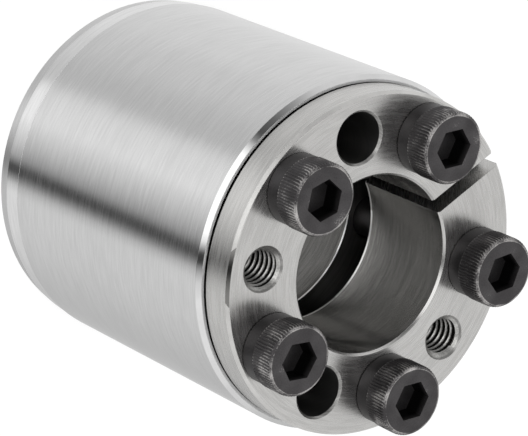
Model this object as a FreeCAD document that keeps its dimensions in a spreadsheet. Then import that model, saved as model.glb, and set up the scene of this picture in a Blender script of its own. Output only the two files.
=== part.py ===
import FreeCAD, Part
import math
import os
import re
import Sketcher

# Shaft locking assembly for a 25 mm shaft in a 50 mm hub, standing on its rear end.
# A double taper body takes a slit taper ring at each end, and five cap screws draw
# the two rings together until the shaft and the hub are gripped.
# Origin: centre of the rear end. +Z runs along the axis to the screw heads.

doc = FreeCAD.newDocument("ShaftLock")

# Sizes in millimetres and degrees: alias, value, what it is
SIZES = [
    ("bore_dia", 25.0, "shaft bore of both taper rings"),
    ("hub_dia", 50.0, "outside of the body, the hub seat"),
    ("body_len", 49.4, "length of the body"),
    ("body_chamfer", 0.6, "chamfer on the body's front edge"),
    ("mouth_wall", 0.97, "wall of the body at its taper mouths"),
    ("taper_deg", 7.0, "half angle of the tapers"),
    ("taper_clear", 0.1, "radial clearance of a ring in its taper before tightening"),
    ("front_depth", 18.1, "depth of the front taper bore, down to the web"),
    ("rear_depth", 18.1, "depth of the rear taper bore, up to the web"),
    ("web_clear", 1.5, "radial clearance of the web round the shaft"),
    ("web_bevel", 0.4, "bevel at the front end of the web bore"),
    ("web_hole_clear", 0.25, "radial clearance of the screws in the web"),
    ("relief_drop", 0.3, "radial step down to the relieved rear stretch"),
    ("relief_len", 4.8, "length of the relieved stretch"),
    ("relief_run", 0.45, "bevel from the hub seat down to the relief"),
    ("lead_len", 1.95, "lead-in at the rear edge"),
    ("lead_drop", 0.3, "radial drop of the lead-in"),
    ("body_slit", 2.0, "slit in the body"),
    ("flange_drop", 0.95, "radial step from the hub seat down to the flange"),
    ("flange_thick", 4.7, "thickness of the flange"),
    ("flange_gap", 0.5, "gap from flange to body before tightening"),
    ("rim_chamfer", 0.4, "chamfer on the flange's front edge"),
    ("undercut_drop", 1.55, "radial depth of the undercut behind the flange"),
    ("undercut_len", 2.0, "length of the undercut"),
    ("front_len", 16.4, "length of the front ring"),
    ("hole_clear", 0.55, "radial clearance of a screw in the front ring's plain holes"),
    ("hole_bevel", 0.3, "bevel on the plain holes and the bores"),
    ("thread_bevel", 0.25, "bevel on the jacking threads"),
    ("ring_slit", 2.2, "slit in both taper rings"),
    ("slit_shift", 0.7, "sideways place of the ring slits"),
    ("rear_len", 13.5, "length of the rear ring"),
    ("rear_inset", 0.5, "rear ring's end face inside the body's end"),
    ("pitch_inset", 0.25, "screw circle, radially inside midway from bore to hub seat"),
    ("screw_count", 5, "clamping screws"),
    ("screw_dia", 6.0, "thread size of clamping and jacking screws"),
    ("thread_clear", 0.05, "radial clearance of a screw in its tapped hole"),
    ("thread_reach", 9.4, "length of each screw held in the rear ring"),
    ("head_dia", 10.0, "screw head"),
    ("head_len", 6.0, "height of the head"),
    ("head_bevel", 0.45, "bevel on the head's top edge"),
    ("key_width", 5.0, "hexagon socket across flats"),
    ("key_depth", 3.0, "depth of the hexagon socket"),
]

# How far each screw's hexagon socket has turned from the radial direction, in degrees
KEY_TURN = [-1.0, 2.0, 30.0, 22.0, 16.0]

sheet = doc.addObject("Spreadsheet::Sheet", "Sizes")
for row, (alias, value, meaning) in enumerate(SIZES, start=1):
    sheet.set(f"A{row}", alias)
    sheet.set(f"B{row}", str(value))
    sheet.set(f"C{row}", meaning)
    sheet.setAlias(f"B{row}", alias)
doc.recompute()


def size(alias):
    """A size read back from the sheet, used only to start a sketch near its place."""
    return float(sheet.get(alias))


def sheet_text(text):
    """Spell every size in a formula as a reference to the sheet."""
    return re.sub(r"[a-z]+_[a-z_]+", lambda found: "Sizes." + found.group(), text)


def new_body(name, label):
    body = doc.addObject("PartDesign::Body", name)
    body.Label = label
    return body


def new_sketch(body, name, plane, lift=None):
    """A sketch on one of the body's own origin planes, lifted off it by a formula."""
    sketch = body.newObject("Sketcher::SketchObject", name)
    origin_plane = next(o for o in body.Origin.OriginFeatures if o.Role == plane)
    sketch.AttachmentSupport = [(origin_plane, "")]
    sketch.MapMode = "FlatFace"
    if lift:
        sketch.setExpression("AttachmentOffset.Base.z", sheet_text(lift))
    return sketch


def bind(sketch, constraint, formula):
    """Add a constraint whose value is a formula of the sheet's sizes."""
    index = sketch.addConstraint(constraint)
    sketch.setExpression(f"Constraints[{index}]", sheet_text(formula))


def closed_outline(sketch, corners):
    """Straight-sided outline through corners given as pairs of formulas.

    Each corner is dimensioned from the sketch origin, so the first places are only
    a start for the solver.
    """
    count = len(corners)
    start = [FreeCAD.Vector(10 + 3 * math.cos(6.28 * i / count),
                            10 + 3 * math.sin(6.28 * i / count), 0) for i in range(count)]
    for i in range(count):
        sketch.addGeometry(Part.LineSegment(start[i], start[(i + 1) % count]), False)
    for i in range(count):
        sketch.addConstraint(Sketcher.Constraint("Coincident", i, 2, (i + 1) % count, 1))
    for i, (across, up) in enumerate(corners):
        if across == "0":
            sketch.addConstraint(Sketcher.Constraint("PointOnObject", i, 1, -2))
        else:
            bind(sketch, Sketcher.Constraint("DistanceX", -1, 1, i, 1, start[i].x), across)
        if up == "0":
            sketch.addConstraint(Sketcher.Constraint("PointOnObject", i, 1, -1))
        else:
            bind(sketch, Sketcher.Constraint("DistanceY", -1, 1, i, 1, start[i].y), up)


def turned(body, name, corners):
    """Turned solid: an outline in the XZ plane spun about the body's Z axis."""
    sketch = new_sketch(body, name + "Profile", "XZ_Plane")
    closed_outline(sketch, corners)
    turn = body.newObject("PartDesign::Revolution", name)
    turn.Profile = sketch
    turn.ReferenceAxis = (sketch, ["V_Axis"])
    turn.Angle = 360.0
    doc.recompute()
    return turn


def through_cut(body, name, sketch):
    """Pocket right through the body, to both sides of its sketch."""
    before = body.Shape.Volume
    pocket = body.newObject("PartDesign::Pocket", name)
    pocket.Profile = sketch
    pocket.Midplane = True
    pocket.Type = "ThroughAll"
    doc.recompute()
    if not body.Shape.Volume < before - 0.1:
        raise RuntimeError(name + " cuts nothing")
    return pocket


def drill(body, name, steps, diameter):
    """Round holes through the body on the screw circle.

    A step is half the angle from one clamping screw to the next.
    """
    sketch = new_sketch(body, name + "Centres", "XY_Plane")
    radius = (size("bore_dia") + size("hub_dia")) / 4 - size("pitch_inset")
    for step in steps:
        angle = math.radians(step * 180 / size("screw_count"))
        centre = FreeCAD.Vector(radius * math.cos(angle), radius * math.sin(angle), 0)
        spoke = sketch.addGeometry(Part.LineSegment(FreeCAD.Vector(0, 0, 0), centre), True)
        hole = sketch.addGeometry(Part.Circle(centre, FreeCAD.Vector(0, 0, 1), 3.0), False)
        sketch.addConstraint(Sketcher.Constraint("Coincident", spoke, 1, -1, 1))
        sketch.addConstraint(Sketcher.Constraint("Coincident", spoke, 2, hole, 3))
        bind(sketch, Sketcher.Constraint("Distance", spoke, radius), PITCH)
        bind(sketch, Sketcher.Constraint("Angle", -1, 1, spoke, 1, angle),
             f"{step} * 180 deg / screw_count")
        bind(sketch, Sketcher.Constraint("Diameter", hole, 6.0), diameter)
    return through_cut(body, name, sketch)


def ring_of(body, name, feature):
    """Repeat a feature round the axis, once for each clamping screw."""
    pattern = body.newObject("PartDesign::PolarPattern", name)
    pattern.Originals = [feature]
    axis = next(o for o in body.Origin.OriginFeatures if o.Role == "Z_Axis")
    pattern.Axis = (axis, [""])
    pattern.Angle = 360.0
    pattern.setExpression("Occurrences", "Sizes.screw_count")
    body.Tip = pattern
    doc.recompute()
    return pattern


def slit(body, name, width, middle, reach):
    """Saw cut on the +X side, from the bore out past the rim."""
    sketch = new_sketch(body, name + "Outline", "XY_Plane")
    closed_outline(sketch, [
        ("bore_dia / 4", f"{middle} - {width} / 2"),
        (f"{reach} / 2 + {width}", f"{middle} - {width} / 2"),
        (f"{reach} / 2 + {width}", f"{middle} + {width} / 2"),
        ("bore_dia / 4", f"{middle} + {width} / 2"),
    ])
    return through_cut(body, name, sketch)


def bevel(body, name, width, height, radius):
    """Chamfer every circular edge of this radius at one height."""
    base = body.Tip
    before = body.Shape.Volume
    edges = []
    for number, edge in enumerate(body.Shape.Edges, start=1):
        curve = edge.Curve
        if not isinstance(curve, Part.Circle):
            continue
        if abs(curve.Radius - radius) < 1e-4 and abs(curve.Center.z - height) < 1e-4:
            edges.append(f"Edge{number}")
    chamfer = body.newObject("PartDesign::Chamfer", name)
    chamfer.Base = (base, edges)
    chamfer.setExpression("Size", "Sizes." + width)
    body.Tip = chamfer
    doc.recompute()
    if not body.Shape.Volume < before:
        raise RuntimeError(name + " bevels nothing")
    return chamfer


# Formulas that several pieces share
TAN = "tan(taper_deg * 1 deg)"
MOUTH = "(hub_dia / 2 - mouth_wall)"
PITCH = "((bore_dia + hub_dia) / 4 - pitch_inset)"
PLAIN_HOLE = "(screw_dia + 2 * hole_clear)"
FRONT_FACE = "(body_len + flange_gap + flange_thick)"
FLANGE_BACK = "(body_len + flange_gap)"
FLANGE_RADIUS = "(hub_dia / 2 - flange_drop)"
REAR_TIP = "(rear_inset + rear_len)"

# Steps round the screw circle, from the slits: the clamping screws have the odd ones
SCREW_STEPS = [1]
ACCESS_STEPS = [2, 6]
JACKING_STEPS = [4, 8]

# Body: one turned piece with a taper bore at each end and a thick web between them
body = new_body("Body", "body")
WEB_BORE = "(bore_dia / 2 + web_clear)"
WEB_FRONT = "(body_len - front_depth)"
turned(body, "BodyTurned", [
    (MOUTH, "body_len"),
    ("hub_dia / 2 - body_chamfer", "body_len"),
    ("hub_dia / 2", "body_len - body_chamfer"),
    ("hub_dia / 2", "relief_len + relief_run"),
    ("hub_dia / 2 - relief_drop", "relief_len"),
    ("hub_dia / 2 - relief_drop", "lead_len"),
    ("hub_dia / 2 - relief_drop - lead_drop", "0"),
    (MOUTH, "0"),
    (f"{MOUTH} - rear_depth * {TAN}", "rear_depth"),
    (WEB_BORE, "rear_depth"),
    (WEB_BORE, f"{WEB_FRONT} - web_bevel"),
    (f"{WEB_BORE} + web_bevel", WEB_FRONT),
    (f"{MOUTH} - front_depth * {TAN}", WEB_FRONT),
])
web_hole = drill(body, "WebScrewHole", SCREW_STEPS, "screw_dia + 2 * web_hole_clear")
ring_of(body, "WebScrewHoles", web_hole)
drill(body, "WebJackingHoles", ACCESS_STEPS, "screw_dia")
slit(body, "BodySlit", "body_slit", "0 * body_slit", "hub_dia")

# Front ring: flanged taper ring that carries the screw heads
front = new_body("FrontRing", "front_ring")
FRONT_TAPER = f"{MOUTH} - taper_clear - (body_len - %s) * {TAN}"
UNDERCUT_END = f"({FLANGE_BACK} - undercut_len)"
FRONT_TIP = f"({FRONT_FACE} - front_len)"
turned(front, "FrontTurned", [
    ("bore_dia / 2 + hole_bevel", FRONT_FACE),
    (f"{FLANGE_RADIUS} - rim_chamfer", FRONT_FACE),
    (FLANGE_RADIUS, f"{FRONT_FACE} - rim_chamfer"),
    (FLANGE_RADIUS, FLANGE_BACK),
    (f"{FLANGE_RADIUS} - undercut_drop", FLANGE_BACK),
    (f"{FLANGE_RADIUS} - undercut_drop", UNDERCUT_END),
    (FRONT_TAPER % UNDERCUT_END, UNDERCUT_END),
    (FRONT_TAPER % FRONT_TIP, FRONT_TIP),
    ("bore_dia / 2 + hole_bevel", FRONT_TIP),
    ("bore_dia / 2", f"{FRONT_TIP} + hole_bevel"),
    ("bore_dia / 2", f"{FRONT_FACE} - hole_bevel"),
])
front_hole = drill(front, "FrontScrewHole", SCREW_STEPS, PLAIN_HOLE)
ring_of(front, "FrontScrewHoles", front_hole)
drill(front, "AccessHoles", ACCESS_STEPS, PLAIN_HOLE)
drill(front, "FrontJackingHoles", JACKING_STEPS, "screw_dia")
face_height = size("body_len") + size("flange_gap") + size("flange_thick")
bevel(front, "AccessBevel", "hole_bevel", face_height,
      size("screw_dia") / 2 + size("hole_clear"))
bevel(front, "JackingBevel", "thread_bevel", face_height, size("screw_dia") / 2)
slit(front, "FrontSlit", "ring_slit", "slit_shift", "hub_dia")

# Rear ring: the same taper the other way round, tapped for the clamping screws
rear = new_body("RearRing", "rear_ring")
REAR_TAPER = f"{MOUTH} - taper_clear - %s * {TAN}"
turned(rear, "RearTurned", [
    ("bore_dia / 2 + hole_bevel", "rear_inset"),
    ("bore_dia / 2", "rear_inset + hole_bevel"),
    ("bore_dia / 2", REAR_TIP),
    (REAR_TAPER % REAR_TIP, REAR_TIP),
    (REAR_TAPER % "rear_inset", "rear_inset"),
])
tapped_hole = drill(rear, "TappedHole", SCREW_STEPS, "screw_dia + 2 * thread_clear")
ring_of(rear, "TappedHoles", tapped_hole)
slit(rear, "RearSlit", "ring_slit", "slit_shift", "hub_dia")

# Clamping screws: hexagon socket head cap screws, seated on the front face
SCREW_LEN = f"({FRONT_FACE} - {REAR_TIP} + thread_reach)"
screws = []
for number in range(int(size("screw_count"))):
    name = f"Screw{number + 1}"
    screw = new_body(name, f"screw_{number + 1}")
    turned(screw, name + "Turned", [
        ("0", f"-{SCREW_LEN}"),
        ("screw_dia / 2", f"-{SCREW_LEN}"),
        ("screw_dia / 2", "0"),
        ("head_dia / 2", "0"),
        ("head_dia / 2", "head_len - head_bevel"),
        ("head_dia / 2 - head_bevel", "head_len"),
        ("0", "head_len"),
    ])
    key = new_sketch(screw, name + "Key", "XY_Plane", "head_len")
    corner = size("key_width") / math.sqrt(3)
    ends = [FreeCAD.Vector(corner * math.cos(math.radians(60 * i)),
                           corner * math.sin(math.radians(60 * i)), 0) for i in range(6)]
    for i in range(6):
        key.addGeometry(Part.LineSegment(ends[i], ends[(i + 1) % 6]), False)
    rim = key.addGeometry(
        Part.Circle(FreeCAD.Vector(0, 0, 0), FreeCAD.Vector(0, 0, 1), corner), True)
    key.addConstraint(Sketcher.Constraint("Coincident", rim, 3, -1, 1))
    for i in range(6):
        key.addConstraint(Sketcher.Constraint("Coincident", i, 2, (i + 1) % 6, 1))
        key.addConstraint(Sketcher.Constraint("PointOnObject", i, 1, rim))
        if i:
            key.addConstraint(Sketcher.Constraint("Equal", 0, i))
    key.addConstraint(Sketcher.Constraint("PointOnObject", 0, 1, -1))
    bind(key, Sketcher.Constraint("Diameter", rim, 2 * corner), "2 * key_width / sqrt(3)")
    before = screw.Shape.Volume
    socket = screw.newObject("PartDesign::Pocket", name + "Socket")
    socket.Profile = key
    socket.Type = "Length"
    socket.setExpression("Length", "Sizes.key_depth")
    doc.recompute()
    if not screw.Shape.Volume < before - 1.0:
        raise RuntimeError("the hexagon socket cuts nothing")
    spoke = f"({2 * number + 1} * 180 deg / screw_count)"
    screw.setExpression("Placement.Base.x", sheet_text(f"{PITCH} * cos({spoke})"))
    screw.setExpression("Placement.Base.y", sheet_text(f"{PITCH} * sin({spoke})"))
    screw.setExpression("Placement.Base.z", sheet_text(FRONT_FACE))
    turn = f" + {KEY_TURN[number]} deg" if number < len(KEY_TURN) else ""
    screw.setExpression("Placement.Rotation.Angle", sheet_text(spoke + turn))
    screws.append(screw)

doc.recompute()

pieces = [body, front, rear] + screws
for obj in doc.Objects:
    if "Invalid" in obj.State or "Error" in obj.State:
        raise RuntimeError(obj.Name + " did not build: " + ", ".join(obj.State))
for piece in pieces:
    if piece.Shape.isNull() or not piece.Shape.isValid() or len(piece.Shape.Solids) != 1:
        raise RuntimeError(piece.Label + " is not one valid solid")

os.makedirs("parts", exist_ok=True)
for piece in pieces:
    piece.Shape.exportStep(f"parts/{piece.Label}.step")
    print(f"{piece.Label}: {piece.Shape.Volume:.1f} mm3, {len(piece.Shape.Faces)} faces")
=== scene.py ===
import math
import bpy
from mathutils import Matrix, Vector


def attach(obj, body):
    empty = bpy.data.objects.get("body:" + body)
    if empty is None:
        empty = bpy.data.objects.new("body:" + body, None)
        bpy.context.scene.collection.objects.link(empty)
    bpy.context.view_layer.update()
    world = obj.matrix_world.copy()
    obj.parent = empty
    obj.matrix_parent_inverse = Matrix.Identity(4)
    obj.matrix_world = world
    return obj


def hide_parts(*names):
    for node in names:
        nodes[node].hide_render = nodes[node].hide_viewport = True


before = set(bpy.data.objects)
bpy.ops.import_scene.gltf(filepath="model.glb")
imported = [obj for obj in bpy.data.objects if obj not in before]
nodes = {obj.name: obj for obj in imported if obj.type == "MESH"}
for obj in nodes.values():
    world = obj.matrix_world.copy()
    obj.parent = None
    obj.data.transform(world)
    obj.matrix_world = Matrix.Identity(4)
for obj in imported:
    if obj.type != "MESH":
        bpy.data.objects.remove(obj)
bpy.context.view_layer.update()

mm = 0.001
touch = 0.001 * mm  # points nearer than this lie in one place
slack = 0.02  # in mm, for telling rows of points apart by their height or radius

# Places that several pieces share, in millimetres and degrees, the same as in the part's source
layout = {
    "frontFace": 54.6,
    "ringEnd": 38.2,  # the front ring's inner end
    "webFront": 31.3,
    "webBack": 18.1,
    "screwCircle": 18.5,
    "screwAngles": [36, 108, 180, 252, 324],
    "keyTurns": [-1, 2, 30, 22, 16],  # how far each hexagon socket has turned
    "ringThreadAngles": [144, 288],
    "webThreadAngles": [72, 216],  # the ring's plain holes lie in front of these
    "cameraAzimuth": 124.0,
}


def toLinear(hexColour):
    channels = [int(hexColour[i:i + 2], 16) / 255 for i in (1, 3, 5)]
    return tuple(c / 12.92 if c < 0.04045 else ((c + 0.055) / 1.055) ** 2.4 for c in channels) + (1,)


def addNode(tree, kind, settings=None, links=None):
    # settings are the node's own options by name, or its input values by name or number
    node = tree.nodes.new(kind)
    for key, value in (settings or {}).items():
        if isinstance(key, str) and hasattr(node, key):
            setattr(node, key, value)
        else:
            node.inputs[key].default_value = value
    for key, source in (links or {}).items():
        tree.links.new(source, node.inputs[key])
    return node


def startMaterial(name):
    material = bpy.data.materials.new(name)
    material.use_nodes = True
    return material, material.node_tree, material.node_tree.nodes["Principled BSDF"]


def setMaterial(piece, material):
    piece.data.materials.clear()
    piece.data.materials.append(material)


def deselectAll():
    bpy.ops.object.select_all(action="DESELECT")


def joinTo(piece, extra):
    deselectAll()
    extra.select_set(True)
    piece.select_set(True)
    bpy.context.view_layer.objects.active = piece
    bpy.ops.object.join()


def copyPiece(piece, name):
    twin = piece.copy()
    twin.data = piece.data.copy()
    twin.name = name
    bpy.context.collection.objects.link(twin)
    return twin


def placeOnCircle(piece, angle, height, turn=0.0):
    # stands the piece at its angle on the screw circle, with the place in its mesh
    spot = math.radians(angle)
    radius = layout["screwCircle"]
    place = Matrix.Translation((radius * math.cos(spot) * mm, radius * math.sin(spot) * mm, height * mm))
    piece.data.transform(place @ Matrix.Rotation(spot + math.radians(turn), 4, "Z"))


print("stage: materials")

# Steel that was turned, and on the hub seat ground: fine lines run round the shaft axis, so the
# gloss is drawn out across them. The real lines are too fine to show, so they are drawn coarser,
# "line" mm apart. They waver between the tones "colour" and "dark", and in roughness by "spread".
# "stretch" is how far the gloss is drawn out. A zone is a stretch with another finish, by height
# and radius in mm. With "near", its radius is measured from the nearest of these angles on the
# screw circle, and the lines have no relief there. With "tilt", its shading is tipped upwards.
steelLooks = {
    "groundSteel": {
        "colour": "#E1E1E1", "dark": "#D6D6D6", "roughness": 0.16, "spread": 0.04,
        "line": 0.3, "bump": 0.035, "stretch": 0.7,
        "zones": [
            # the lead-in at the rear edge is dull, the relieved stretch bright, and the bevel
            # between it and the hub seat scatters
            {"low": -1, "high": 1.95, "inner": 24.0, "outer": 26,
             "colour": "#DADADA", "dark": "#CBCBCB", "roughness": 0.28},
            {"low": 1.95, "high": 4.82, "inner": 24.0, "outer": 26,
             "colour": "#F0F0F0", "dark": "#E4E4E4", "roughness": 0.1},
            {"low": 4.82, "high": 5.26, "inner": 24.0, "outer": 26,
             "colour": "#F4F4F4", "dark": "#ECECEC", "roughness": 0.8},
            # the front chamfer, turned with a keen tool and nearly a mirror
            {"low": 48.55, "high": 49.36, "inner": 24.3, "outer": 24.99,
             "colour": "#ECECEC", "dark": "#E2E2E2", "roughness": 0.08},
            # the narrow end face behind the flange scatters more
            {"low": 49.35, "high": 49.5, "inner": 23.9, "outer": 24.4,
             "colour": "#F2F2F2", "dark": "#E0E0E0", "roughness": 0.6},
            # painted shade, near black, in the taper bores and on the web's back, deep inside where little
            # light reaches
            {"low": 0.3, "high": 49.3, "inner": 14.45, "outer": 24.2,
             "colour": "#2C2B2A", "dark": "#201F1E", "roughness": 0.45},
            # the web's front face, deep in the recess: painted shade, lighter than on the tapers
            {"low": 31.2, "high": 31.4, "inner": 14.45, "outer": 19.5,
             "colour": "#8C8B89", "dark": "#777674", "roughness": 0.36},
            # the web's bore and the lower part of its bevel, drilled, and darkened with painted shade deep in
            # the bore
            {"low": 18.0, "high": 30.9, "inner": 13.9, "outer": 14.05,
             "colour": "#9A9997", "dark": "#7C7B79", "roughness": 0.26},
            {"low": 30.8, "high": 31.16, "inner": 13.9, "outer": 14.45,
             "colour": "#777674", "dark": "#6A6967", "roughness": 0.3},
        ],
    },
    "turnedSteel": {
        "colour": "#D9D8D6", "dark": "#C7C6C4", "roughness": 0.27, "spread": 0.04,
        "line": 0.3, "bump": 0.035, "stretch": 0.45,
        "zones": [
            # the bores are fine turned and smoother than the faces
            {"low": 0, "high": 54.3, "inner": 0, "outer": 12.6,
             "colour": "#F0EFED", "dark": "#CDCCCA", "roughness": 0.22},
            # the tapers, inside the recess, are darkened with painted shade
            {"low": 0, "high": 49.0, "inner": 14.45, "outer": 24.2,
             "colour": "#4A4947", "dark": "#3A3938", "roughness": 0.4},
            # the flange's rim, bevelled with a file and dull, with one short stretch darker and smoother: a
            # painted dark reflection
            {"low": 54.19, "high": 54.62, "inner": 23.66, "outer": 24.2,
             "colour": "#E9E8E6", "dark": "#D8D7D5", "roughness": 0.55},
            # painted dark reflection: an arc on the rim's bevel near one screw, darker and smoother
            {"low": 54.19, "high": 54.59, "inner": 0, "outer": 6.33, "near": [146.5],
             "colour": "#8F8E8C", "dark": "#858482", "roughness": 0.12},
            # the bevel at the bore's inner end, filed too
            {"low": 38.1, "high": 38.52, "inner": 12.4, "outer": 12.9,
             "colour": "#FAFAF9", "dark": "#F0F0EF", "roughness": 0.7},
            # a scraper left a tiny lip above it, which faces up and catches the light
            {"low": 38.5, "high": 38.84, "inner": 12.4, "outer": 12.6, "tilt": 1.2,
             "colour": "#A5A4A2", "dark": "#959492", "roughness": 0.35},
            # the same lip is lighter on one side, a painted highlight, and a little smoother there
            {"low": 38.5, "high": 38.86, "inner": 0, "outer": 10.3, "near": [306],
             "colour": "#DEDDDB", "dark": "#D2D1CF", "roughness": 0.3},
            # drilled holes have no turning lines, their walls are darkened with painted shade, and their
            # bevels are rough
            {"low": 38, "high": 54.32, "inner": 0, "outer": 3.6, "near": layout["webThreadAngles"],
             "colour": "#7A7977", "dark": "#717070", "roughness": 0.42},
            {"low": 54.28, "high": 54.59, "inner": 0, "outer": 3.92,
             "near": layout["webThreadAngles"] + layout["ringThreadAngles"],
             "colour": "#BDBCBA", "dark": "#8F8E8C", "roughness": 0.45},
        ],
    },
}

# What both steels share: strokes so many mm long, soft bands that are longer and wider, how much
# the bands count, the noise at which each tone and roughness is reached, the lines' relief, and the
# radius of the edges, which a file broke
steelGrain = {
    "stroke": 4, "strokeDetail": 3.0,
    "bandStroke": 60, "bandLine": 2.6, "bandDetail": 2.0, "bandShare": 0.3,
    "darkAt": 0.47, "lightAt": 0.83, "smoothAt": 0.3, "roughAt": 0.7,
    "relief": 0.01, "edgeRadius": 0.1,
}


def addMask(tree, height, radius, zone):
    # 1 inside a zone, 0 outside it
    mask = None
    for value, kind, limit in ((height, "GREATER_THAN", zone["low"]),
                               (height, "LESS_THAN", zone["high"]),
                               (radius, "GREATER_THAN", zone["inner"]),
                               (radius, "LESS_THAN", zone["outer"])):
        step = addNode(tree, "ShaderNodeMath", {"operation": kind, 1: limit * mm}, {0: value}).outputs[0]
        if mask:
            step = addNode(tree, "ShaderNodeMath", {"operation": "MULTIPLY"}, {0: mask, 1: step}).outputs[0]
        mask = step
    return mask


def addReach(tree, flat, angles):
    # how far a point lies from the nearest of these angles on the screw circle
    nearest = None
    for angle in angles:
        spot = math.radians(angle)
        radius = layout["screwCircle"] * mm
        centre = (radius * math.cos(spot), radius * math.sin(spot), 0)
        reach = addNode(tree, "ShaderNodeVectorMath", {"operation": "DISTANCE", 1: centre},
                        {0: flat}).outputs["Value"]
        if nearest:
            reach = addNode(tree, "ShaderNodeMath", {"operation": "MINIMUM"},
                            {0: nearest, 1: reach}).outputs[0]
        nearest = reach
    return nearest


def addLines(tree, flat, along, spacing, stroke, detail):
    # noise drawn out round the axis, with fine steps along the surface's profile
    wide = addNode(tree, "ShaderNodeVectorMath", {"operation": "SCALE", "Scale": 1 / (stroke * mm)},
                   {0: flat}).outputs[0]
    wideParts = addNode(tree, "ShaderNodeSeparateXYZ", links={0: wide}).outputs
    step = addNode(tree, "ShaderNodeMath", {"operation": "MULTIPLY", 1: 1 / (spacing * mm)},
                   {0: along}).outputs[0]
    spot = addNode(tree, "ShaderNodeCombineXYZ",
                   links={0: wideParts[0], 1: wideParts[1], 2: step}).outputs[0]
    return addNode(tree, "ShaderNodeTexNoise", {"Scale": 1.0, "Detail": detail},
                   {"Vector": spot}).outputs[0]


def makeSteel(name):
    look = steelLooks[name]
    grain = steelGrain
    material, tree, shader = startMaterial(name)
    place = addNode(tree, "ShaderNodeTexCoord").outputs["Object"]
    parts = addNode(tree, "ShaderNodeSeparateXYZ", links={0: place}).outputs
    flat = addNode(tree, "ShaderNodeCombineXYZ", links={0: parts[0], 1: parts[1]}).outputs[0]
    radius = addNode(tree, "ShaderNodeVectorMath", {"operation": "LENGTH"}, {0: flat}).outputs["Value"]
    along = addNode(tree, "ShaderNodeMath", {"operation": "ADD"}, {0: parts[2], 1: radius}).outputs[0]
    lines = addLines(tree, flat, along, look["line"], grain["stroke"], grain["strokeDetail"])
    bands = addLines(tree, flat, along, grain["bandLine"], grain["bandStroke"], grain["bandDetail"])
    mixed = addNode(tree, "ShaderNodeMath", {"operation": "MULTIPLY_ADD", 1: grain["bandShare"]},
                    {0: bands, 2: lines}).outputs[0]
    shade = addNode(tree, "ShaderNodeMapRange", {"From Min": grain["darkAt"], "From Max": grain["lightAt"]},
                    {0: mixed}).outputs[0]
    colour = addNode(tree, "ShaderNodeMix", {"data_type": "RGBA", 6: toLinear(look["dark"]),
                     7: toLinear(look["colour"])}, {0: shade}).outputs[2]
    rough = addNode(tree, "ShaderNodeMapRange", {
        "From Min": grain["smoothAt"], "From Max": grain["roughAt"],
        "To Min": look["roughness"] - look["spread"], "To Max": look["roughness"] + look["spread"]},
        {0: lines}).outputs[0]
    plainMasks = []
    lifts = []
    for zone in look["zones"]:
        reach = addReach(tree, flat, zone["near"]) if "near" in zone else radius
        mask = addMask(tree, parts[2], reach, zone)
        if "near" in zone:
            plainMasks.append(mask)
        if "tilt" in zone:
            lift = addNode(tree, "ShaderNodeMath", {"operation": "MULTIPLY", 1: zone["tilt"]},
                           {0: mask}).outputs[0]
            lifts.append(addNode(tree, "ShaderNodeCombineXYZ", links={2: lift}).outputs[0])
        inside = addNode(tree, "ShaderNodeMix", {"data_type": "RGBA", 6: toLinear(zone["dark"]),
                         7: toLinear(zone["colour"])}, {0: shade}).outputs[2]
        colour = addNode(tree, "ShaderNodeMix", {"data_type": "RGBA"},
                         {0: mask, 6: colour, 7: inside}).outputs[2]
        rough = addNode(tree, "ShaderNodeMix", {"data_type": "FLOAT", 3: zone["roughness"]},
                        {0: mask, 2: rough}).outputs[0]
    tree.links.new(colour, shader.inputs["Base Color"])
    tree.links.new(rough, shader.inputs["Roughness"])
    edge = addNode(tree, "ShaderNodeBevel", {"samples": 4, "Radius": grain["edgeRadius"] * mm}).outputs[0]
    bump = addNode(tree, "ShaderNodeBump", {"Strength": look["bump"], "Distance": grain["relief"] * mm},
                   {"Height": lines, "Normal": edge})
    if plainMasks:
        plain = plainMasks[0]
        for mask in plainMasks[1:]:
            plain = addNode(tree, "ShaderNodeMath", {"operation": "MAXIMUM"}, {0: plain, 1: mask}).outputs[0]
        strength = addNode(tree, "ShaderNodeMath", {"operation": "MULTIPLY_ADD", 1: -look["bump"],
                           2: look["bump"]}, {0: plain}).outputs[0]
        tree.links.new(strength, bump.inputs["Strength"])
    normal = bump.outputs[0]
    for lift in lifts:
        tipped = addNode(tree, "ShaderNodeVectorMath", {"operation": "ADD"}, {0: normal, 1: lift}).outputs[0]
        normal = addNode(tree, "ShaderNodeVectorMath", {"operation": "NORMALIZE"}, {0: tipped}).outputs[0]
    tree.links.new(normal, shader.inputs["Normal"])
    around = addNode(tree, "ShaderNodeTangent", {"direction_type": "RADIAL", "axis": "Z"}).outputs[0]
    tree.links.new(around, shader.inputs["Tangent"])
    shader.inputs["Metallic"].default_value = 1.0
    shader.inputs["Anisotropic"].default_value = look["stretch"]
    shader.inputs["Anisotropic Rotation"].default_value = 0.25  # a quarter turn, across the lines
    return material


# Cut thread in steel: bright where the tap left the crests flat, near black with painted shade in the
# grooves, and torn by the tap all over, drawn coarser than it is so that it shows
threadLook = {
    "crest": "#E0DFDC", "grooveShade": "#141312", "roughness": 0.34, "grooveRougher": 0.15, "crestSmoother": 0.05,
    "grain": 0.25, "grainShare": 0.35, "grooveAt": 0.7, "crestAt": 1.16, "tear": 0.03, "bump": 0.8,
}


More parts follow.
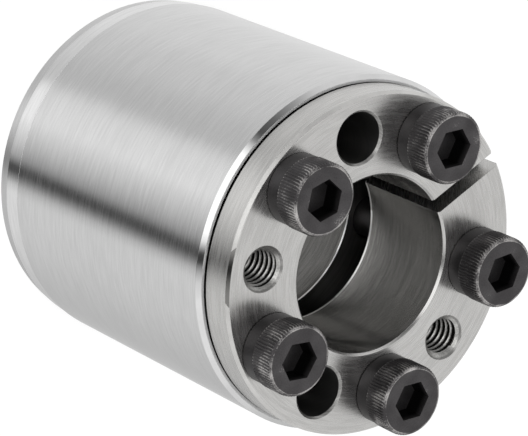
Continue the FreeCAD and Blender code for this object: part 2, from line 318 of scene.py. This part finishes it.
def makeThreadSteel(name):
    look = threadLook
    material, tree, shader = startMaterial(name)
    place = addNode(tree, "ShaderNodeTexCoord").outputs["Object"]
    grain = addNode(tree, "ShaderNodeTexNoise", {"Scale": 1 / (look["grain"] * mm), "Detail": 2.0},
                    {"Vector": place}).outputs[0]
    wearAndShade = addNode(tree, "ShaderNodeAttribute", {"attribute_name": "wearAndShade"}).outputs["Fac"]
    mixed = addNode(tree, "ShaderNodeMath", {"operation": "MULTIPLY_ADD", 1: look["grainShare"]},
                    {0: grain, 2: wearAndShade}).outputs[0]
    share = addNode(tree, "ShaderNodeMapRange", {"From Min": look["grooveAt"], "From Max": look["crestAt"]},
                    {0: mixed}).outputs[0]
    colour = addNode(tree, "ShaderNodeMix", {"data_type": "RGBA", 6: toLinear(look["grooveShade"]),
                     7: toLinear(look["crest"])}, {0: share}).outputs[2]
    tree.links.new(colour, shader.inputs["Base Color"])
    rough = addNode(tree, "ShaderNodeMapRange", {"To Min": look["roughness"] + look["grooveRougher"],
                    "To Max": look["roughness"] - look["crestSmoother"]}, {0: share}).outputs[0]
    tree.links.new(rough, shader.inputs["Roughness"])
    bump = addNode(tree, "ShaderNodeBump", {"Strength": look["bump"], "Distance": look["tear"] * mm},
                   {"Height": grain}).outputs[0]
    tree.links.new(bump, shader.inputs["Normal"])
    shader.inputs["Metallic"].default_value = 1.0
    return material


# Black-oxide steel: a thin dark conversion coat over forged steel, dull with a soft sheen, and
# rubbed lighter along the knurl's crests and the head's upper edge. The coat's own grain is too
# fine to show, so "grain" is drawn coarser. Wear comes and goes every "patch" mm and starts at the
# grain's peaks, so that it ends in specks. Below 0 the value is painted shade, darkest in the
# socket's corners and at the head's foot.
oxideLook = {
    "colour": "#555354", "dark": "#434142", "worn": "#C9C6C4", "paintedShade": "#0D0D0D",
    "grain": 0.2, "patch": 2.5, "darkAt": 0.75, "lightAt": 1.25,
    "grainShare": 0.9, "patchShare": 1.4, "wearStart": 1.48, "wearFull": 2.08, "shadeFull": -0.4,
    "roughness": 0.4, "spread": 0.08, "smoothAt": 0.3, "roughAt": 0.7, "polish": 0.12,
    "bump": 0.3, "relief": 0.02, "edgeRadius": 0.08, "metallic": 0.8,
}


def makeOxide(name):
    look = oxideLook
    material, tree, shader = startMaterial(name)
    place = addNode(tree, "ShaderNodeTexCoord").outputs["Object"]
    grain = addNode(tree, "ShaderNodeTexNoise", {"Scale": 1 / (look["grain"] * mm), "Detail": 3.0},
                    {"Vector": place}).outputs[0]
    wearAndShade = addNode(tree, "ShaderNodeAttribute", {"attribute_name": "wearAndShade"}).outputs["Fac"]
    patch = addNode(tree, "ShaderNodeTexNoise", {"Scale": 1 / (look["patch"] * mm), "Detail": 1.0},
                    {"Vector": place}).outputs[0]
    specks = addNode(tree, "ShaderNodeMath", {"operation": "MULTIPLY_ADD", 1: look["grainShare"]},
                     {0: grain, 2: wearAndShade}).outputs[0]
    mixed = addNode(tree, "ShaderNodeMath", {"operation": "MULTIPLY_ADD", 1: look["patchShare"]},
                    {0: patch, 2: specks}).outputs[0]
    rubbed = addNode(tree, "ShaderNodeMapRange", {"From Min": look["wearStart"],
                     "From Max": look["wearFull"]}, {0: mixed}).outputs[0]
    cloudy = addNode(tree, "ShaderNodeMath", {"operation": "ADD"}, {0: grain, 1: patch}).outputs[0]
    spots = addNode(tree, "ShaderNodeMapRange", {"From Min": look["darkAt"], "From Max": look["lightAt"]},
                    {0: cloudy}).outputs[0]
    coat = addNode(tree, "ShaderNodeMix", {"data_type": "RGBA", 6: toLinear(look["dark"]),
                   7: toLinear(look["colour"])}, {0: spots}).outputs[2]
    # below 0 the coat is darkened towards near black: painted shade
    unshaded = addNode(tree, "ShaderNodeMapRange", {"From Min": look["shadeFull"], "From Max": 0.0},
                    {0: wearAndShade}).outputs[0]
    shadedCoat = addNode(tree, "ShaderNodeMix", {"data_type": "RGBA", 6: toLinear(look["paintedShade"])},
                   {0: unshaded, 7: coat}).outputs[2]
    colour = addNode(tree, "ShaderNodeMix", {"data_type": "RGBA", 7: toLinear(look["worn"])},
                     {0: rubbed, 6: shadedCoat}).outputs[2]
    tree.links.new(colour, shader.inputs["Base Color"])
    rough = addNode(tree, "ShaderNodeMapRange", {
        "From Min": look["smoothAt"], "From Max": look["roughAt"],
        "To Min": look["roughness"] - look["spread"], "To Max": look["roughness"] + look["spread"]},
        {0: grain}).outputs[0]
    polished = addNode(tree, "ShaderNodeMath", {"operation": "MULTIPLY_ADD", 1: -look["polish"]},
                       {0: rubbed, 2: rough}).outputs[0]
    tree.links.new(polished, shader.inputs["Roughness"])
    edge = addNode(tree, "ShaderNodeBevel", {"samples": 4, "Radius": look["edgeRadius"] * mm}).outputs[0]
    bump = addNode(tree, "ShaderNodeBump", {"Strength": look["bump"], "Distance": look["relief"] * mm},
                   {"Height": grain, "Normal": edge}).outputs[0]
    tree.links.new(bump, shader.inputs["Normal"])
    shader.inputs["Metallic"].default_value = look["metallic"]
    return material


groundSteel = makeSteel("groundSteel")
turnedSteel = makeSteel("turnedSteel")
cutThreadSteel = makeThreadSteel("cutThreadSteel")
blackOxideSteel = makeOxide("blackOxideSteel")

for nodeName, material in (("body", groundSteel), ("front_ring", turnedSteel), ("rear_ring", turnedSteel)):
    for slot in nodes[nodeName].material_slots:
        slot.material = material


print("stage: threads")

threadSizes = {
    "pitch": 1.0, "outer": 3.0, "inner": 2.5, "crestWidth": 0.12, "steps": 28,
    "footShare": 0.49,  # of the pitch, up and down, so that two turns don't merge
    "wallSink": 0.02,  # how far a ridge's foot lies in a hole's wall
    "coreSink": 0.05,  # and in a screw's core
    "crestDrop": 0.02,  # how far a screw's crests stay under its full radius
    "start": 0.1,  # how far in from a hole's back end the ridge begins
    "mergeReach": 0.00001,  # far less than the gap between two turns
    "smoothAngle": 20,
}


def makeThread(name, start, length, inward):
    # a ridge with a narrow flat crest, wound up a hole's wall or round a screw's core
    size = threadSizes
    turns = int(length / size["pitch"]) - 1  # the last whole turn would reach past the end
    deselectAll()
    bpy.ops.mesh.primitive_circle_add(vertices=4, radius=0.5 * size["pitch"] * mm, fill_type="NOTHING")
    ridge = bpy.context.object
    ridge.name = name
    if inward:
        foot, crest = size["outer"] + size["wallSink"], size["inner"]
    else:
        foot, crest = size["inner"] - size["coreSink"], size["outer"] - size["crestDrop"]
    half = size["pitch"] * size["footShare"]
    top = size["crestWidth"] / 2
    outline = ((foot, -half), (crest, -top), (crest, top), (foot, half))
    for corner, (out, up) in zip(ridge.data.vertices, outline):
        corner.co = (out * mm, 0, (start + size["pitch"] / 2 + up) * mm)
    winding = ridge.modifiers.new("winding", "SCREW")
    winding.axis = "Z"
    winding.angle = math.tau
    winding.screw_offset = size["pitch"] * mm
    winding.iterations = turns
    winding.steps = size["steps"]
    winding.render_steps = size["steps"]
    bpy.ops.object.modifier_apply(modifier="winding")
    bpy.ops.object.mode_set(mode="EDIT")
    bpy.ops.mesh.select_all(action="SELECT")
    bpy.ops.mesh.remove_doubles(threshold=size["mergeReach"] * mm)
    bpy.ops.mesh.select_all(action="DESELECT")
    bpy.ops.mesh.select_mode(type="EDGE")
    bpy.ops.mesh.select_non_manifold(extend=False)
    bpy.ops.mesh.fill()  # closes both ends of the ridge
    bpy.ops.mesh.select_all(action="SELECT")
    bpy.ops.mesh.normals_make_consistent(inside=False)
    bpy.ops.object.mode_set(mode="OBJECT")
    bpy.ops.object.shade_smooth_by_angle(angle=math.radians(size["smoothAngle"]))
    # 1 on the crests and 0 elsewhere; the 0 is painted near black, as shade in the grooves
    wearAndShade = ridge.data.attributes.new("wearAndShade", "FLOAT", "POINT")
    for index, point in enumerate(ridge.data.vertices):
        out = math.hypot(point.co.x, point.co.y) / mm
        wearAndShade.data[index].value = 1.0 if abs(out - crest) < slack else 0.0
    return ridge


# The 45 degree sink at a tapped hole's mouth
sinkSizes = {
    "rimWider": 0.22,  # than the thread
    "bevelEnd": 0.25,  # how far down the hole's own bevel ends and the sink shows
    "throatWider": 0.1,  # than the thread's crests
    "back": 0.3,  # how far it reaches down in the wall below the throat
    "steps": 48, "wearAndShade": 0.86,
}


def makeSink(name, face):
    # it cuts on through the first turn of the thread
    size = sinkSizes
    wall = threadSizes["outer"] + threadSizes["wallSink"]
    throat = threadSizes["inner"] + size["throatWider"]
    depth = threadSizes["outer"] + size["rimWider"] - throat
    deselectAll()
    bpy.ops.mesh.primitive_circle_add(vertices=3, radius=mm, fill_type="NOTHING")
    sink = bpy.context.object
    sink.name = name
    outline = ((wall, -size["bevelEnd"]), (throat, -depth), (wall, -depth - size["back"]))
    for corner, (out, up) in zip(sink.data.vertices, outline):
        corner.co = (out * mm, 0, (face + up) * mm)
    bpy.ops.object.mode_set(mode="EDIT")
    bpy.ops.mesh.select_all(action="SELECT")
    bpy.ops.mesh.spin(steps=size["steps"], angle=math.tau, center=(0, 0, 0), axis=(0, 0, 1))
    bpy.ops.mesh.select_all(action="SELECT")
    bpy.ops.mesh.remove_doubles(threshold=touch)
    bpy.ops.mesh.normals_make_consistent(inside=False)
    bpy.ops.object.mode_set(mode="OBJECT")
    bpy.ops.object.shade_smooth_by_angle(angle=math.radians(threadSizes["smoothAngle"]))
    wearAndShade = sink.data.attributes.new("wearAndShade", "FLOAT", "POINT")
    for index in range(len(sink.data.vertices)):
        wearAndShade.data[index].value = size["wearAndShade"]
    return sink


ringRidge = makeThread("ringThreadFirst", layout["ringEnd"] + threadSizes["start"],
                       layout["frontFace"] - layout["ringEnd"], True)
joinTo(ringRidge, makeSink("threadSink", layout["frontFace"]))
webRidge = makeThread("webThreadFirst", layout["webBack"] + threadSizes["start"],
                      layout["webFront"] - layout["webBack"], True)
for ridge, angles, body, slot, label in (
        (ringRidge, layout["ringThreadAngles"], "front_ring", "turned_steel", "ringThread"),
        (webRidge, layout["webThreadAngles"], "body", "ground_steel", "webThread")):
    for number, angle in enumerate(angles, start=1):
        thread = copyPiece(ridge, label + str(number))
        placeOnCircle(thread, angle, 0)
        setMaterial(thread, cutThreadSteel)
        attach(thread, body)
    bpy.data.objects.remove(ridge)


print("stage: screws")

screwSizes = {
    "headRadius": 5.0, "headHeight": 6.0, "edgeBevel": 0.45,
    # the upper edge's outline, out and up from the knurl's end, in edge bevels
    "edgeOutline": [(0, -1), (-0.35, -0.4), (-0.75, -0.12), (-1, 0), (-1.3, 0)],
    "bandRadius": 4.88, "bandHeight": 2.2, "footBevel": 0.14,
    "knurlRidges": 72, "knurlDepth": 0.13, "knurlStart": 0.14, "knurlEnd": 0.2,
    "keyWidth": 5.0, "keyDepth": 3.0, "cornerShadeWidth": 0.08,
    "shankRadius": 3.0, "length": 50.0, "threadLength": 24.0, "threadEnd": 0.3,
    "tipLength": 0.5, "tipDrop": 0.4, "smoothAngle": 20,
}


def extrudeRing(radiusNow, radiusNext, rise):
    # draws the selected end face on to the next height and radius
    bpy.ops.mesh.extrude_region_move(TRANSFORM_OT_translate={"value": (0, 0, rise * mm)})
    factor = radiusNext / radiusNow
    bpy.ops.transform.resize(value=(factor, factor, 1), center_override=(0, 0, 0))


def selectEndFace(mesh, height):
    bpy.ops.mesh.select_all(action="DESELECT")
    bpy.ops.object.mode_set(mode="OBJECT")
    for face in mesh.polygons:
        face.select = abs(face.center.z - height * mm) < touch and abs(face.normal.z) > 0.99
    bpy.ops.object.mode_set(mode="EDIT")


def makeHead():
    # the plain band, the knurled stretch and the rounded edge
    size = screwSizes
    foot = size["footBevel"]
    deselectAll()
    bpy.ops.mesh.primitive_cylinder_add(vertices=size["knurlRidges"] * 2, radius=size["bandRadius"] * mm,
                                        depth=(size["bandHeight"] - foot) * mm,
                                        location=(0, 0, (size["bandHeight"] + foot) / 2 * mm))
    screw = bpy.context.object
    bpy.ops.object.transform_apply(location=True, rotation=True, scale=True)
    bpy.ops.object.mode_set(mode="EDIT")
    bpy.ops.mesh.select_mode(type="FACE")
    selectEndFace(screw.data, size["bandHeight"])
    radius = size["headRadius"]
    edge = size["edgeBevel"]
    knurlRise = size["headHeight"] - edge - size["bandHeight"] - size["knurlStart"] - size["knurlEnd"]
    extrudeRing(size["bandRadius"], radius, size["knurlStart"])
    extrudeRing(radius, radius, size["knurlEnd"])
    extrudeRing(radius, radius, knurlRise)
    outline = size["edgeOutline"]
    for (out, up), (outNext, upNext) in zip(outline, outline[1:]):
        extrudeRing(radius + out * edge, radius + outNext * edge, (upNext - up) * edge)
    return screw


def addShank(screw):
    # the foot's bevel and bearing face, then the shank, its plain stretch and the core of the thread
    size = screwSizes
    foot, shank, core = size["footBevel"], size["shankRadius"], threadSizes["inner"]
    selectEndFace(screw.data, foot)
    extrudeRing(size["bandRadius"], size["bandRadius"] - foot, -foot)
    extrudeRing(size["bandRadius"] - foot, shank, 0)
    extrudeRing(shank, shank, size["threadLength"] - size["length"])
    extrudeRing(shank, core, core - shank)
    extrudeRing(core, core, size["tipLength"] + shank - core - size["threadLength"])
    extrudeRing(core, core - size["tipDrop"], -size["tipLength"])


def pressKnurl(screw):
    # every second line of the knurl is pressed in
    size = screwSizes
    knurlTop = size["headHeight"] - size["edgeBevel"]
    lineAngle = 180 / size["knurlRidges"]
    bpy.ops.mesh.select_mode(type="VERT")
    bpy.ops.mesh.select_all(action="DESELECT")
    bpy.ops.object.mode_set(mode="OBJECT")
    for point in screw.data.vertices:
        line = round(math.degrees(math.atan2(point.co.y, point.co.x)) / lineAngle)
        onKnurl = size["bandHeight"] + slack < point.co.z / mm < knurlTop + slack
        point.select = onKnurl and line % 2 == 0
    bpy.ops.object.mode_set(mode="EDIT")
    pressed = 1 - size["knurlDepth"] / size["headRadius"]
    bpy.ops.transform.resize(value=(pressed, pressed, 1), center_override=(0, 0, 0))
    bpy.ops.object.mode_set(mode="OBJECT")


def cutSocket(screw):
    # the hexagon socket, and a narrow ring round its floor, so that the painted shade can sit in its corner
    # alone
    size = screwSizes
    deselectAll()
    bpy.ops.mesh.primitive_cylinder_add(vertices=6, radius=size["keyWidth"] / math.sqrt(3) * mm,
                                        depth=2 * size["keyDepth"] * mm,
                                        location=(0, 0, size["headHeight"] * mm),
                                        rotation=(0, 0, math.radians(30)))
    cutter = bpy.context.object
    bpy.ops.object.transform_apply(location=True, rotation=True, scale=True)
    deselectAll()
    screw.select_set(True)
    bpy.context.view_layer.objects.active = screw
    cut = screw.modifiers.new("socket", "BOOLEAN")
    cut.operation = "DIFFERENCE"
    cut.solver = "EXACT"
    cut.object = cutter
    bpy.ops.object.modifier_apply(modifier="socket")
    bpy.data.objects.remove(cutter)
    bpy.ops.object.mode_set(mode="EDIT")
    bpy.ops.mesh.select_mode(type="FACE")
    selectEndFace(screw.data, size["headHeight"] - size["keyDepth"])
    bpy.ops.mesh.inset(thickness=size["cornerShadeWidth"] * mm)
    bpy.ops.object.mode_set(mode="OBJECT")


def makeScrew():
    size = screwSizes
    screw = makeHead()
    addShank(screw)
    pressKnurl(screw)
    cutSocket(screw)
    joinTo(screw, makeThread("screwThread", size["threadEnd"] - size["length"],
                             size["threadLength"] - 2 * size["threadEnd"], False))
    bpy.ops.object.shade_smooth_by_angle(angle=math.radians(size["smoothAngle"]))
    return screw


# How bare the steel is, from 0 for a whole coat to 1, and how much painted shade it has, down to -1
headWearAndShade = {
    "edge": 0.7, "edgeRound": 0.5, "knurlEnds": 0.68, "knurlCrests": 0.12,
    "band": -0.12, "bandFoot": -0.4, "socket": -0.12, "socketCorner": -1.0,
}


def paintWearAndShade(piece):
    # bare metal shows most along the head's upper edge, then at the knurl's ends and crests, and painted
    # shade darkens the plain band, its foot and the socket, most in its corners
    size = screwSizes
    knurlStart = size["bandHeight"] + size["knurlStart"]
    knurlTop = size["headHeight"] - size["edgeBevel"]
    topRadius = size["headRadius"] - size["edgeBevel"]
    keyCorner = size["keyWidth"] / math.sqrt(3)
    wearAndShade = piece.data.attributes.get("wearAndShade") or piece.data.attributes.new("wearAndShade", "FLOAT", "POINT")
    for index, point in enumerate(piece.data.vertices):
        out = math.hypot(point.co.x, point.co.y) / mm
        height = point.co.z / mm
        share = 0.0
        if height > size["headHeight"] - slack and out > topRadius - slack:
            share = headWearAndShade["edge"]
        elif height > knurlTop + slack and out > topRadius:
            share = headWearAndShade["edgeRound"]
        elif out > size["headRadius"] - slack:
            atEnd = height < knurlStart + slack or height > knurlTop - slack
            share = headWearAndShade["knurlEnds"] if atEnd else headWearAndShade["knurlCrests"]
        elif out > size["shankRadius"] + slack and height < size["bandHeight"] + slack:
            share = headWearAndShade["bandFoot"] if height < slack else headWearAndShade["band"]
        elif out < size["shankRadius"] and slack < height < size["headHeight"] - slack:
            share = headWearAndShade["socketCorner"] if out > keyCorner - slack else headWearAndShade["socket"]
        wearAndShade.data[index].value = share


firstScrew = makeScrew()
paintWearAndShade(firstScrew)
setMaterial(firstScrew, blackOxideSteel)
for number, (angle, turn) in enumerate(zip(layout["screwAngles"], layout["keyTurns"]), start=1):
    screw = copyPiece(firstScrew, "capScrew" + str(number))
    placeOnCircle(screw, angle, layout["frontFace"], turn)
    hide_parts("screw_" + str(number))
    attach(screw, "screw_" + str(number))
bpy.data.objects.remove(firstScrew)


print("stage: studio")

# What the polished steel mirrors: brightness by the azimuth from the camera, below and above the
# horizon, as soft boxes and the dark gaps between them would give. Steeply below the horizon,
# where a ray falls by "leanFrom" or more, the dark gap leans away from the camera by "lean" degrees.
studio = {
    "below": [(-180, 0.84), (-150, 0.86), (-96, 0.84), (-78, 0.76), (-60, 0.72), (-48, 0.64), (-36, 0.61),
              (-30, 0.64), (-25, 0.84), (-20, 0.92), (0, 0.98), (6, 0.86), (12, 0.76), (20, 0.60),
              (28, 0.40), (33, 0.16), (35, 0.08), (39, 0.08), (43, 0.26), (48, 0.62), (54, 0.80),
              (84, 0.75), (102, 0.68), (120, 0.62), (138, 0.58), (156, 0.60), (180, 0.84)],
    "above": [(-180, 0.78), (-100, 0.76), (-80, 0.70), (-67, 0.34), (-53, 0.14), (-43, 0.08), (-38, 0.30),
              (-33, 0.85), (-27, 1.4), (20, 1.4), (27, 0.95), (31, 0.40), (34, 0.05), (39, 0.04),
              (44, 0.42), (50, 0.75), (60, 0.88), (75, 0.9), (110, 0.78), (180, 0.78)],
    "brightest": 1.5, "horizonBlend": 0.15, "lean": 17.7, "leanFrom": -0.758,
}


def setRamp(node, stops):
    ramp = node.color_ramp
    while len(ramp.elements) < len(stops):
        ramp.elements.new(0.5)
    for element, (place, value) in zip(ramp.elements, stops):
        element.position = place
        element.color = (value, value, value, 1)


def makeWorld():
    world = bpy.data.worlds.new("studioRoom")
    bpy.context.scene.world = world
    world.use_nodes = True
    tree = world.node_tree
    ray = addNode(tree, "ShaderNodeTexCoord").outputs["Generated"]
    parts = addNode(tree, "ShaderNodeSeparateXYZ", links={0: ray}).outputs
    azimuth = addNode(tree, "ShaderNodeMath", {"operation": "ARCTAN2"}, {0: parts[1], 1: parts[0]}).outputs[0]
    cameraTurn = math.radians(layout["cameraAzimuth"])
    turned = addNode(tree, "ShaderNodeMath", {"operation": "SUBTRACT", 1: cameraTurn},
                     {0: azimuth}).outputs[0]
    leaned = addNode(tree, "ShaderNodeMapRange", {"From Min": studio["leanFrom"], "From Max": -1.0,
                     "To Max": math.radians(studio["lean"])}, {0: parts[2]}).outputs[0]
    straight = addNode(tree, "ShaderNodeMath", {"operation": "SUBTRACT"}, {0: turned, 1: leaned}).outputs[0]
    wrapped = addNode(tree, "ShaderNodeMath", {"operation": "WRAP", 1: math.pi, 2: -math.pi},
                      {0: straight}).outputs[0]
    share = addNode(tree, "ShaderNodeMapRange", {"From Min": -math.pi, "From Max": math.pi},
                    {0: wrapped}).outputs[0]
    ramps = []
    for half in ("below", "above"):
        node = addNode(tree, "ShaderNodeValToRGB", links={0: share})
        setRamp(node, [((angle + 180) / 360, value / studio["brightest"]) for angle, value in studio[half]])
        ramps.append(node.outputs[0])
    height = addNode(tree, "ShaderNodeMapRange", {"From Min": -studio["horizonBlend"],
                     "From Max": studio["horizonBlend"]}, {0: parts[2]}).outputs[0]
    walls = addNode(tree, "ShaderNodeMix", {"data_type": "RGBA"},
                    {0: height, 6: ramps[0], 7: ramps[1]}).outputs[2]
    # the camera itself sees white
    seen = addNode(tree, "ShaderNodeLightPath").outputs["Is Camera Ray"]
    room = addNode(tree, "ShaderNodeBackground", {"Strength": studio["brightest"]}, {0: walls}).outputs[0]
    white = addNode(tree, "ShaderNodeBackground", {"Color": (1, 1, 1, 1), "Strength": 1.0}).outputs[0]
    both = addNode(tree, "ShaderNodeMixShader", links={0: seen, 1: room, 2: white}).outputs[0]
    tree.links.new(both, tree.nodes["World Output"].inputs[0])


# Matt background paper, which shows a flat tone and soft shadows. Each sheet glows for one kind
# of ray: the camera sees the wide one nearly white, and the patch under the part glows only for glossy rays,
# painted light that the bore mirrors.
paperLooks = {
    "palePaper": {"colour": "#8E8E8E", "roughness": 0.9, "specular": 0.0,
                  "ray": "Is Camera Ray", "lift": 0.78},
    "glowingPatchPaper": {"colour": "#8E8E8E", "roughness": 0.5, "specular": 0.5,
                    "ray": "Is Glossy Ray", "lift": 0.48},
}
floorSizes = {"width": 4000, "drop": 0.02, "patchRadius": 24, "patchDrop": 0.01}


def makePaper(name):
    look = paperLooks[name]
    material, tree, paper = startMaterial(name)
    paper.inputs["Base Color"].default_value = toLinear(look["colour"])
    paper.inputs["Roughness"].default_value = look["roughness"]
    paper.inputs["Specular IOR Level"].default_value = look["specular"]
    seen = addNode(tree, "ShaderNodeLightPath").outputs[look["ray"]]
    lift = addNode(tree, "ShaderNodeMath", {"operation": "MULTIPLY", 1: look["lift"]}, {0: seen}).outputs[0]
    glow = addNode(tree, "ShaderNodeEmission", {"Color": (1, 1, 1, 1)}, {"Strength": lift}).outputs[0]
    both = addNode(tree, "ShaderNodeAddShader", links={0: paper.outputs[0], 1: glow}).outputs[0]
    tree.links.new(both, tree.nodes["Material Output"].inputs[0])
    return material


def makeFloor():
    size = floorSizes
    deselectAll()
    bpy.ops.mesh.primitive_plane_add(size=size["width"] * mm, location=(0, 0, -size["drop"] * mm))
    floor = bpy.context.object
    floor.name = "studioFloor"
    bpy.ops.object.transform_apply(location=True, rotation=True, scale=True)
    setMaterial(floor, makePaper("palePaper"))
    floor.visible_glossy = False  # the steel mirrors the room in its place
    # the shaded patch right under the part, which glows only in reflections, painted light that the bore
    # mirrors
    deselectAll()
    bpy.ops.mesh.primitive_circle_add(vertices=64, radius=size["patchRadius"] * mm, fill_type="NGON",
                                      location=(0, 0, -size["patchDrop"] * mm))
    patch = bpy.context.object
    patch.name = "floorUnderPart"
    bpy.ops.object.transform_apply(location=True, rotation=True, scale=True)
    setMaterial(patch, makePaper("glowingPatchPaper"))


# One soft lamp near the camera casts the floor's shadow: degrees, metres and watts, and the height
# in mm of the point that it is aimed at
softKey = {"azimuth": layout["cameraAzimuth"] - 5, "elevation": 58, "distance": 0.9, "size": 0.5,
           "power": 3.0, "aim": 30}


def makeLamp():
    light = bpy.data.lights.new("softKey", "AREA")
    light.size = softKey["size"]
    light.energy = softKey["power"]
    lamp = bpy.data.objects.new("softKey", light)
    bpy.context.collection.objects.link(lamp)
    around, up = math.radians(softKey["azimuth"]), math.radians(softKey["elevation"])
    heading = Vector((math.cos(up) * math.cos(around), math.cos(up) * math.sin(around), math.sin(up)))
    lamp.location = Vector((0, 0, softKey["aim"] * mm)) + softKey["distance"] * heading
    lamp.rotation_euler = heading.to_track_quat("Z", "Y").to_euler()
    lamp.visible_glossy = False  # the steel mirrors the room alone


# The photograph's view, in mm and degrees
photoView = {
    "lens": 213.3, "sensorWidth": 36, "nearest": 10,
    "place": (-159.71, 236.82, 362.51), "turn": (-19.368, -36.513, -25.463),
}


def makeCamera():
    view = bpy.data.cameras.new("photoView")
    view.lens = photoView["lens"]
    view.sensor_width = photoView["sensorWidth"]
    view.clip_start = photoView["nearest"] * mm
    camera = bpy.data.objects.new("photoView", view)
    bpy.context.collection.objects.link(camera)
    camera.location = [value * mm for value in photoView["place"]]
    camera.rotation_euler = [math.radians(value) for value in photoView["turn"]]
    bpy.context.scene.camera = camera


makeWorld()
makeFloor()
makeLamp()
makeCamera()
bpy.context.scene.view_settings.view_transform = "Standard"
